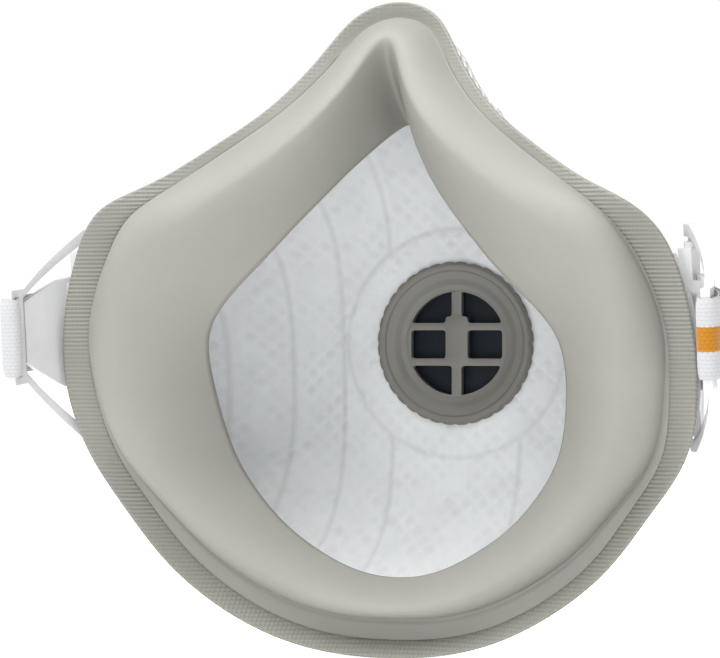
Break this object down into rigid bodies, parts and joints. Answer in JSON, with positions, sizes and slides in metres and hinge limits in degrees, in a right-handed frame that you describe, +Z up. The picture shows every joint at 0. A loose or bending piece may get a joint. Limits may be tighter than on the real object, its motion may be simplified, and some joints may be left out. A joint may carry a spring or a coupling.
{
  "type": "disposable dust mask",
  "caption": "Moulded cup dust mask with a soft rolled face seal, a round exhalation valve and an elastic strap on swinging side buckles.",
  "frame": {"origin": "middle of the face seal's rim outline, on the mid plane, level with the cheek tabs' edges", "axes": "+Z up toward the nose, +Y away from the wearer toward the valve, +X the wearer's right"},
  "size_m": [0.1472, 0.0818, 0.1306],
  "materials": {
    "seal_foam": "satin",
    "liner_fleece": "matte",
    "filter_fleece": "matte",
    "shell_fleece": "matte",
    "outer_net": "matte",
    "aluminium": "satin",
    "grey_plastic": "satin",
    "dark_rubber": "matte",
    "white_plastic": "satin",
    "webbing": "matte"
  },
  "bodies": {
    "mask": {"face_seal": "seal_foam", "inner_liner": "liner_fleece", "filter_layer": "filter_fleece", "outer_cover": "shell_fleece", "outer_mesh": "outer_net", "nose_clip": "aluminium", "valve_seat": "grey_plastic", "diaphragm_pin": "grey_plastic", "valve_cover": "white_plastic", "buckle_base_left": "white_plastic", "buckle_base_right": "white_plastic", "strap_upper": "webbing", "strap_lower": "webbing"},
    "yoke_left": {"strap_yoke_left": "white_plastic", "strap_wrap_left": "webbing"},
    "yoke_right": {"strap_yoke_right": "white_plastic", "strap_wrap_right": "webbing"},
    "flap": {"valve_diaphragm": "dark_rubber"}
  },
  "joints": [
    {"name": "yoke_left_hinge", "type": "hinge", "parent": "mask", "child": "yoke_left", "pos_m": [-0.0634, 0.0081, 0], "axis": [0, 0.1167, -0.9932], "range_deg": [0, 75]},
    {"name": "yoke_right_hinge", "type": "hinge", "parent": "mask", "child": "yoke_right", "pos_m": [0.0634, 0.0081, 0], "axis": [0, -0.1167, 0.9932], "range_deg": [0, 75]},
    {"name": "flap_lift", "type": "slide", "parent": "mask", "child": "flap", "axis": [0, 1, 0], "range_m": [0, 0.0012], "stiffness_N_per_m": 5}
  ]
}
